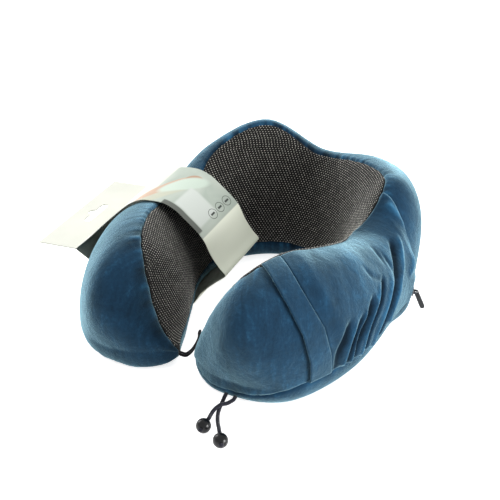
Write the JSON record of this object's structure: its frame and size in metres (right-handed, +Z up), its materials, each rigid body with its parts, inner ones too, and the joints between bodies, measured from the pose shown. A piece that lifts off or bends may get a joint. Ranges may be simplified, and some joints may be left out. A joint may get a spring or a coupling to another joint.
{
  "type": "neck pillow",
  "caption": "U-shaped travel neck pillow in plush velour with a mesh neck side, gathered side pocket, low side zip, cord closure with beads and a folded card sleeve round one arm.",
  "frame": {"origin": "on the flat base, under the middle of the cushion at the back of the neck, on the plane of symmetry of the U", "axes": "+Z up from the base, +Y towards the back of the neck, so the mouth of the U opens towards -Y, and +X towards the arm with the pocket"},
  "size_m": [0.327, 0.3387, 0.1187],
  "materials": {
    "foam": "open-cell memory foam, matt cream",
    "velour": "short plush velour, mid blue with a pale sheen where it is seen edge on",
    "spacer_mesh": "black knitted spacer mesh with rows of pale grey dots",
    "zip_tape": "woven tape, dark navy",
    "zip_coil": "nylon coil, dark navy",
    "zip_metal": "black enamel",
    "pull": "black, softly glossy",
    "loop_cord": "thin black elastic cord",
    "bead_cord": "braided cord, navy black",
    "bead": "black, polished",
    "card": "printed card, satin outside, dark grey inside"
  },
  "bodies": {
    "pillow": {"foam_core": "foam", "cover_side_panel": "velour", "neck_mesh_panel": "spacer_mesh", "cover_base_panel": "velour", "side_pocket": "velour", "pocket_hem": "velour", "zip_tape_upper": "zip_tape", "zip_tape_lower": "zip_tape", "zip_coil_upper": "zip_coil", "zip_coil_lower": "zip_coil", "zip_stop_right": "zip_metal", "zip_stop_left": "zip_metal", "loop_cord": "loop_cord", "bead_cord_1": "bead_cord", "bead_1": "bead", "bead_knot_1": "bead_cord", "bead_cord_2": "bead_cord", "bead_2": "bead", "bead_knot_2": "bead_cord", "card_sleeve": "card"},
    "slider": {"zip_slider": "zip_metal"},
    "pull": {"zip_pull": "pull"}
  },
  "joints": [
    {"name": "zip_slide", "type": "hinge", "parent": "pillow", "child": "slider", "pos_m": [0, -0.094, 0.02], "axis": [0, 0, 1], "range_deg": [0, 143]},
    {"name": "pull_swing", "type": "hinge", "parent": "slider", "child": "pull", "pos_m": [0.12627, -0.05851, 0.02], "axis": [0.2706, -0.9627, 0], "range_deg": [-24, 96]}
  ]
}
